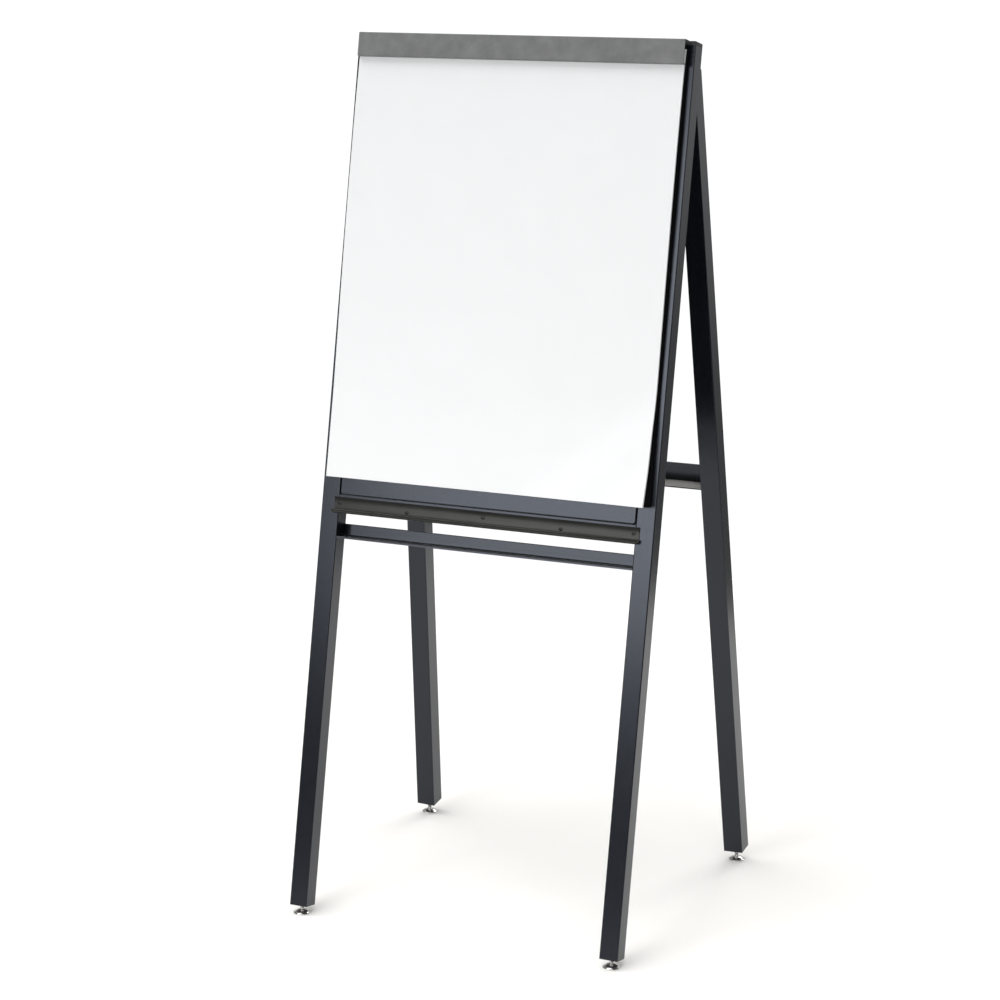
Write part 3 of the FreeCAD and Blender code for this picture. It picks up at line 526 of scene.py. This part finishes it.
# one fastener on every spot, along the spot's own facing, then plain geometry with its finish
def setOnSpots(tree, given, geometry, spin):
    facing = addNode(tree, "GeometryNodeInputNamedAttribute", {"Name": "facing"}, data_type="FLOAT_VECTOR")
    aim = addNode(tree, "FunctionNodeAlignRotationToVector", {
        "Vector": facing.outputs["Attribute"]}, axis="Z")
    turned = addNode(tree, "FunctionNodeRotateRotation", {
        "Rotation": aim.outputs["Rotation"], "Rotate By": spin}, rotation_space="LOCAL")
    placed = addNode(tree, "GeometryNodeInstanceOnPoints", {
        "Points": given["Spots"], "Instance": geometry, "Rotation": turned.outputs["Rotation"]})
    plain = addNode(tree, "GeometryNodeRealizeInstances", {"Geometry": placed.outputs["Instances"]})
    painted = addNode(tree, "GeometryNodeSetMaterial", {
        "Geometry": plain.outputs["Geometry"], "Material": given["Finish"]})
    addNode(tree, "NodeGroupOutput", {"Fasteners": painted.outputs["Geometry"]})
    return tree


# domed head with a cross recess on a plain shank; the head stands on height 0
def screwTree():
    tree, given = newTree("screws", screwShape)
    height, radius = given["Head Height"], given["Head Radius"]
    disc = addNode(tree, "GeometryNodeMeshCylinder", {
        "Vertices": screwMake["around"], "Side Segments": screwMake["sides"],
        "Fill Segments": screwMake["rings"], "Radius": radius, "Depth": height})
    head = shifted(tree, disc.outputs["Mesh"], sums(tree, "MULTIPLY", height, 0.5))
    spot = addNode(tree, "GeometryNodeInputPosition").outputs["Position"]
    parts = addNode(tree, "ShaderNodeSeparateXYZ", {"Vector": spot}).outputs
    squares = sums(tree, "ADD", sums(tree, "POWER", parts["X"], 2.0), sums(tree, "POWER", parts["Y"], 2.0))
    share = sums(tree, "DIVIDE", squares, sums(tree, "POWER", radius, 2.0))
    keep = sums(tree, "SUBTRACT", 1.0, sums(tree, "MULTIPLY", share, given["Crown"]))
    domed = addNode(tree, "ShaderNodeCombineXYZ", {
        "X": parts["X"], "Y": parts["Y"], "Z": sums(tree, "MULTIPLY", parts["Z"], keep)}).outputs["Vector"]
    head = addNode(tree, "GeometryNodeSetPosition", {"Geometry": head, "Position": domed}).outputs["Geometry"]
    solid = boolean(tree, "UNION", head, shank(tree, given, screwMake["sunk"], screwMake["shankSides"]))
    deep = sums(tree, "MULTIPLY", given["Recess Depth"], 2.0)
    size = addNode(tree, "ShaderNodeCombineXYZ", {
        "X": given["Recess Length"], "Y": given["Recess Width"], "Z": deep})
    slot = addNode(tree, "GeometryNodeMeshCube", {"Size": size.outputs["Vector"]}).outputs["Mesh"]
    cross = boolean(tree, "UNION", shifted(tree, slot, height), shifted(tree, slot, height, math.pi/2))
    solid = boolean(tree, "DIFFERENCE", solid, cross)
    drawn = addNode(tree, "FunctionNodeRandomValue", {"Seed": given["Seed"]}, data_type="FLOAT")
    angle = sums(tree, "MULTIPLY", drawn.outputs["Value"], math.pi)
    spin = addNode(tree, "FunctionNodeAxisAngleToRotation", {"Axis": (0, 0, 1), "Angle": angle})
    return setOnSpots(tree, given, solid, spin.outputs["Rotation"])


# hexagon head with its corners turned off by a cone, on a plain shank
def boltTree():
    tree, given = newTree("bolts", boltShape["pivot_bolts"])
    height = given["Head Height"]
    hexagon = rod(tree, given["Hex Radius"], height, boltMake["corners"], sums(tree, "MULTIPLY", height, 0.5))
    top = sums(tree, "MULTIPLY", given["Hex Radius"], boltMake["flat"])
    foot = sums(tree, "ADD", top, sums(tree, "MULTIPLY", height, boltMake["slope"]))
    cone = addNode(tree, "GeometryNodeMeshCone", {
        "Vertices": boltMake["coneSides"], "Radius Top": top, "Radius Bottom": foot, "Depth": height})
    head = boolean(tree, "INTERSECT", hexagon, cone.outputs["Mesh"])
    solid = boolean(tree, "UNION", head, shank(tree, given, boltMake["sunk"], boltMake["shankSides"]))
    spin = addNode(tree, "FunctionNodeAxisAngleToRotation", {"Axis": (0, 0, 1), "Angle": boltMake["spin"]})
    return setOnSpots(tree, given, solid, spin.outputs["Rotation"])


# spots under the heads of a node's fasteners, each with the way that its head faces
def fastenerSpots(node, facingOf, headHeight):
    spots = []
    for points in solidsOf(node):
        facing = facingOf(sum(points, Vector())/len(points))
        aside = facing.orthogonal()
        axes = Matrix((aside.normalized(), facing.cross(aside).normalized(), facing))
        low, high = boxAlong(points, axes)
        middle = (low + high)/2
        spots.append((axes.transposed() @ Vector((middle.x, middle.y, high.z - headHeight)), facing))
    return spots


def makeFasteners(name, tree, sizes, node, facingOf, headHeight, body, slot):
    spots = fastenerSpots(node, facingOf, headHeight)
    data = bpy.data.meshes.new(name + "Spots")
    data.from_pydata([spot for spot, facing in spots], [], [])
    data.attributes.new("facing", "FLOAT_VECTOR", "POINT").data.foreach_set(
        "vector", [value for spot, facing in spots for value in facing])
    carrier = bpy.data.objects.new(name + "Spots", data)
    bpy.context.scene.collection.objects.link(carrier)
    modifier = carrier.modifiers.new("fasteners", "NODES")
    modifier.node_group = tree
    for entry in tree.interface.items_tree:
        if entry.in_out == "INPUT" and entry.name in sizes:
            modifier[entry.identifier] = sizes[entry.name]
        if entry.in_out == "INPUT" and entry.name == "Finish":
            modifier[entry.identifier] = finishes[slot]
    carrier.update_tag()
    evaluated = carrier.evaluated_get(bpy.context.evaluated_depsgraph_get())
    made = bpy.data.meshes.new_from_object(evaluated)
    made.name = name
    bpy.data.objects.remove(carrier)
    setPiece(name, made, body, slot, [node], sharp=30)
    print(name, len(spots), "spots,", len(made.polygons), "faces")


screws, bolts = screwTree(), boltTree()
forward = lambda middle: -frontBack
backward = lambda middle: frontBack
inward = lambda middle: Vector((-math.copysign(1, middle.x), 0, 0))
for name, node, facingOf, slot in (
        ("trayScrews", "tray_screws", forward, "screw_black"),
        ("hingeLeafScrews", "clamp_hinge_screws", forward, "zinc"),
        ("boardScrews", "board_screws", backward, "screw_black"),
        ("panelScrews", "panel_screws", inward, "screw_black")):
    makeFasteners(name, screws, screwShape, node, facingOf, screwMake["seat"], "front_frame", slot)
for name, node, facingOf, body in (
        ("bracketBolts", "bracket_bolts", backward, "front_frame"),
        ("pivotBolts", "pivot_bolts", inward, "rear_frame")):
    makeFasteners(name, bolts, boltShape[node], node, facingOf, boltShape[node]["Head Height"], body, "zinc")


stemShape = {"ball": 0.0040, "ballSteps": 12, "neck": 0.0025, "neckEnd": 0.0045, "thread": 0.0040,
             "length": 0.036, "pitch": 0.00125, "depth": 0.00065, "chamfer": 0.0009, "steps": 32,
             "perPitch": 8}
# the rim has shares of the radius with heights, the mouth has radii with depths below the top
glideShape = {"radius": 0.017, "socket": 0.0041, "ballHeight": 0.005, "top": 0.007, "steps": 72,
              "domeSteps": 14, "socketSteps": 9, "middle": 0.0004, "domeEdge": 0.90, "domeFoot": 0.0023,
              "domeDrop": 0.0005, "domePower": 0.85, "crown": 0.0056,
              "rim": ((0.90, 0.0), (0.965, 0.0003), (1.0, 0.0011), (0.99, 0.0017), (0.955, 0.0021),
                      (0.925, 0.00215)),
              "mouth": ((0.0053, 0.0001), (0.0049, 0.0), (0.0041, 0.0))}


# rows of a stem from the ball up: height, radius and how deep the thread cuts there
def stemRows():
    rows = []
    ball, neck = stemShape["ball"], stemShape["neck"]
    neckTurn = math.acos(neck/ball)
    for k in range(1, stemShape["ballSteps"] + 1):
        turn = -math.pi/2 + (math.pi/2 + neckTurn)*k/stemShape["ballSteps"]
        rows.append((ball*math.sin(turn), ball*math.cos(turn), 0.0))
    start, end, chamfer = stemShape["neckEnd"], stemShape["length"], stemShape["chamfer"]
    rows.append((start, neck, 0.0))
    rows.append((start, stemShape["thread"] - chamfer, 0.0))
    count = round((end - start - 2*chamfer)/stemShape["pitch"]*stemShape["perPitch"])
    for k in range(count + 1):
        up = start + chamfer + (end - start - 2*chamfer)*k/count
        rows.append((up, stemShape["thread"], 1.0))
    rows.append((end, stemShape["thread"] - chamfer, 0.0))
    return rows


def makeStem(name, body, node, end, side, centre):
    axes = legAxes(end, side).transposed()
    steps = stemShape["steps"]
    rings = []
    for up, radius, cut in stemRows():
        ring = []
        for k in range(steps):
            turn = 2*math.pi*k/steps
            phase = (up/stemShape["pitch"] - k/steps) % 1.0
            reach = radius - cut*stemShape["depth"]*abs(2*phase - 1)
            ring.append(centre + axes @ Vector((reach*math.cos(turn), reach*math.sin(turn), up)))
        rings.append(ring)
    mesh = bmesh.new()
    skin(mesh, rings)
    return finishPiece(name, mesh, body, "foot_chrome", [node], sharp=40)


# profile of a glide from the middle of its base, round its rim and over the dome, down into the ball's socket
def glideProfile():
    radius, top, high = glideShape["radius"], glideShape["top"], glideShape["ballHeight"]
    points = [(glideShape["middle"], 0.0)] + [(radius*share, up) for share, up in glideShape["rim"]]
    edge, crown = radius*glideShape["domeEdge"], glideShape["crown"]
    foot, rise = glideShape["domeFoot"], top - glideShape["domeDrop"]
    for k in range(glideShape["domeSteps"] + 1):
        share = k/glideShape["domeSteps"]
        arc = math.sin(share*math.pi/2)**glideShape["domePower"]
        points.append((edge + (crown - edge)*share, foot + (rise - foot)*arc))
    points += [(reach, top - below) for reach, below in glideShape["mouth"]]
    socket, steps = glideShape["socket"], glideShape["socketSteps"]
    mouth = math.asin((top - high)/socket)
    for k in range(steps):
        turn = mouth - (mouth + math.pi/2)*k/steps
        points.append((socket*math.cos(turn), high + socket*math.sin(turn)))
    return points


def makeGlide(name, body, node, centre):
    steps = glideShape["steps"]
    foot = Vector((centre.x, centre.y, centre.z - glideShape["ballHeight"]))
    turns = [2*math.pi*k/steps for k in range(steps)]
    rings = [[foot + Vector((radius*math.cos(turn), radius*math.sin(turn), up)) for turn in turns]
             for radius, up in glideProfile()]
    mesh = bmesh.new()
    skin(mesh, rings)
    return finishPiece(name, mesh, body, "foot_chrome", [node], sharp=50)


for end in ("front", "rear"):
    for side in ("right", "left"):
        label = end.capitalize() + side.capitalize()
        centre = Vector(joints[f"glide_tilt_{end}_{side}"]["pos_m"])
        makeStem("footStem" + label, f"foot_{end}_{side}", f"foot_stem_{end}_{side}", end, side, centre)
        makeGlide("footGlide" + label, f"glide_{end}_{side}", f"foot_glide_{end}_{side}", centre)
print("feet made")


capShape = {"front": {"head": 0.009, "round": 0.0018, "crown": 0.0006},
            "rear": {"head": 0.005, "round": 0.0012, "crown": 0.0005},
            "corner": 0.0020, "cornerShare": 0.8, "wall": 0.0013, "cornerSteps": 6, "roundSteps": 5,
            "crownShares": (0.7, 0.35, 0.1)}


def squareRing(halfWide, halfDeep, corner, up):
    ring = []
    for quarter, (sx, sy) in enumerate(((1, -1), (1, 1), (-1, 1), (-1, -1))):
        for k in range(capShape["cornerSteps"] + 1):
            turn = math.pi/2*(quarter - 1 + k/capShape["cornerSteps"])
            ring.append(Vector((sx*(halfWide - corner) + corner*math.cos(turn),
                                sy*(halfDeep - corner) + corner*math.sin(turn), up)))
    return ring


# a moulded plug: square shank in the tube, a head as wide as the tube, rounded and a little crowned on top
def makeCaps(name, end, node, body):
    mesh = bmesh.new()
    shape, corner, wall = capShape[end], capShape["corner"], capShape["wall"]
    for points in solidsOf(node):
        side = "right" if points[0].x > 0 else "left"
        axes = legAxes(end, side)
        low, high = boxAlong(points, axes)
        middle, half = (low + high)/2, (high - low)/2
        top, seat = high.z, high.z - shape["head"]
        rings = [squareRing(half.x - wall, half.y - wall, corner - wall, up) for up in (low.z, seat)]
        rings.append(squareRing(half.x, half.y, corner, seat))
        for k in range(capShape["roundSteps"] + 1):
            turn = math.pi/2*k/capShape["roundSteps"]
            inset = shape["round"]*(1 - math.cos(turn))
            up = top - shape["crown"] - shape["round"]*(1 - math.sin(turn))
            tight = corner - capShape["cornerShare"]*inset
            rings.append(squareRing(half.x - inset, half.y - inset, tight, up))
        for share in capShape["crownShares"]:
            reach = half.x*share
            rings.append(squareRing(reach, reach, corner*share, top - shape["crown"]*share**2))
        back = axes.transposed()
        centre = Vector((middle.x, middle.y, 0))
        skin(mesh, [[back @ (centre + point) for point in ring] for ring in rings])
    return finishPiece(name, mesh, body, "plastic_black", [node], sharp=30)


makeCaps("frontCaps", "front", "front_leg_caps", "front_frame")
makeCaps("rearCaps", "rear", "rear_leg_caps", "rear_frame")
print("caps made")


floorLook = {"radius": 2.6, "sides": 96, "dark": (0.938, 0.925, 0.900), "light": (0.946, 0.933, 0.908),
             "roughness": 0.9, "ior": 1.2, "cloudScale": 5}


def makeFloor():
    bpy.ops.mesh.primitive_circle_add(
        vertices=floorLook["sides"], radius=floorLook["radius"], fill_type="NGON")
    floor = bpy.context.object
    floor.name = "studioFloor"
    looks = {"Roughness": floorLook["roughness"], "IOR": floorLook["ior"]}
    material, tree, shader, place = newFinish("floorPaint", looks)
    cloud = grain(tree, place, floorLook["cloudScale"], detail=2)
    tone = blendColour(tree, between(tree, cloud, 0, 1), floorLook["dark"], floorLook["light"])
    tree.links.new(tone, shader.inputs["Base Color"])
    floor.data.materials.append(material)


plainWhite = (1, 1, 1)
areaLights = {
    "softbox": {"centre": (-1.20, -4.3, 2.08), "size": (2.3, 2.1), "power": 78, "tint": (0.95, 0.98, 1.0)},
    "frontFill": {"centre": (2.4, -3.4, 3.2), "size": (2.2, 2.2), "power": 34, "tint": plainWhite},
    "backFill": {"centre": (0.6, 3.6, 3.4), "size": (2.4, 2.4), "power": 60, "tint": plainWhite}}
lightSetup = {"aim": (0, -0.1, 1.0), "sunPlace": (0, 0, 4), "sunStrength": 2.6, "sunSpread": 62,
              "sunTurn": (17, 0, -50)}
worldSetup = {"front": 0.04, "back": 0.27, "backdrop": 1.7, "foot": -0.12, "footBlur": 0.04, "top": 0.45,
              "topBlur": 0.15, "seen": 1.05}


def aimed(centre, target):
    return (Vector(target) - Vector(centre)).to_track_quat("-Z", "Y").to_euler()


def addLight(name, kind, place, turn, power):
    data = bpy.data.lights.new(name, kind)
    data.energy = power
    lamp = bpy.data.objects.new(name, data)
    lamp.location, lamp.rotation_euler = place, turn
    lamp.visible_camera = False
    bpy.context.scene.collection.objects.link(lamp)
    return data


def makeLights():
    for name, look in areaLights.items():
        lamp = addLight(name, "AREA", look["centre"], aimed(look["centre"], lightSetup["aim"]), look["power"])
        lamp.shape, (lamp.size, lamp.size_y) = "RECTANGLE", look["size"]
        lamp.color = look["tint"]
    turn = [math.radians(angle) for angle in lightSetup["sunTurn"]]
    sun = addLight("overhead", "SUN", lightSetup["sunPlace"], turn, lightSetup["sunStrength"])
    sun.angle = math.radians(lightSetup["sunSpread"])


# dim in front and lighter behind, with a band of bright backdrop; the camera sees white
def makeWorld():
    world = bpy.data.worlds.new("studio")
    bpy.context.scene.world = world
    world.use_nodes = True
    tree = world.node_tree
    tree.nodes.clear()
    way = addNode(tree, "ShaderNodeTexCoord").outputs["Generated"]
    parts = addNode(tree, "ShaderNodeSeparateXYZ", {"Vector": way}).outputs
    dim = between(tree, parts["Y"], worldSetup["front"], worldSetup["back"], -1, 1)
    foot, top = worldSetup["foot"], worldSetup["top"]
    footBlur, topBlur = worldSetup["footBlur"], worldSetup["topBlur"]
    rising = between(tree, parts["Z"], 0, 1, foot - footBlur, foot + footBlur)
    falling = between(tree, parts["Z"], worldSetup["backdrop"], 0, top - topBlur, top + topBlur)
    glow = sums(tree, "MULTIPLY", rising, falling)
    strength = sums(tree, "MULTIPLY", dim, sums(tree, "ADD", glow, 1.0))
    surround = addNode(tree, "ShaderNodeBackground", {"Strength": strength})
    white = addNode(tree, "ShaderNodeBackground", {"Color": (*plainWhite, 1), "Strength": worldSetup["seen"]})
    seen = addNode(tree, "ShaderNodeLightPath").outputs["Is Camera Ray"]
    mixed = addNode(tree, "ShaderNodeMixShader", {
        "Fac": seen, 1: surround.outputs["Background"], 2: white.outputs["Background"]})
    addNode(tree, "ShaderNodeOutputWorld", {"Surface": mixed.outputs["Shader"]})


cameraSetup = {"place": (2.0478, -4.6206, 1.9760), "down": 12.9, "turn": 24.357, "lens": 92.93,
               "sensor": 36.0}


def makeCamera():
    data = bpy.data.cameras.new("photoCamera")
    data.lens, data.sensor_width = cameraSetup["lens"], cameraSetup["sensor"]
    camera = bpy.data.objects.new("photoCamera", data)
    camera.location = cameraSetup["place"]
    camera.rotation_euler = (math.radians(90 - cameraSetup["down"]), 0, math.radians(cameraSetup["turn"]))
    bpy.context.scene.collection.objects.link(camera)
    bpy.context.scene.camera = camera


makeFloor()
makeLights()
makeWorld()
makeCamera()
bpy.context.scene.view_settings.view_transform = "Standard"
print("studio ready")
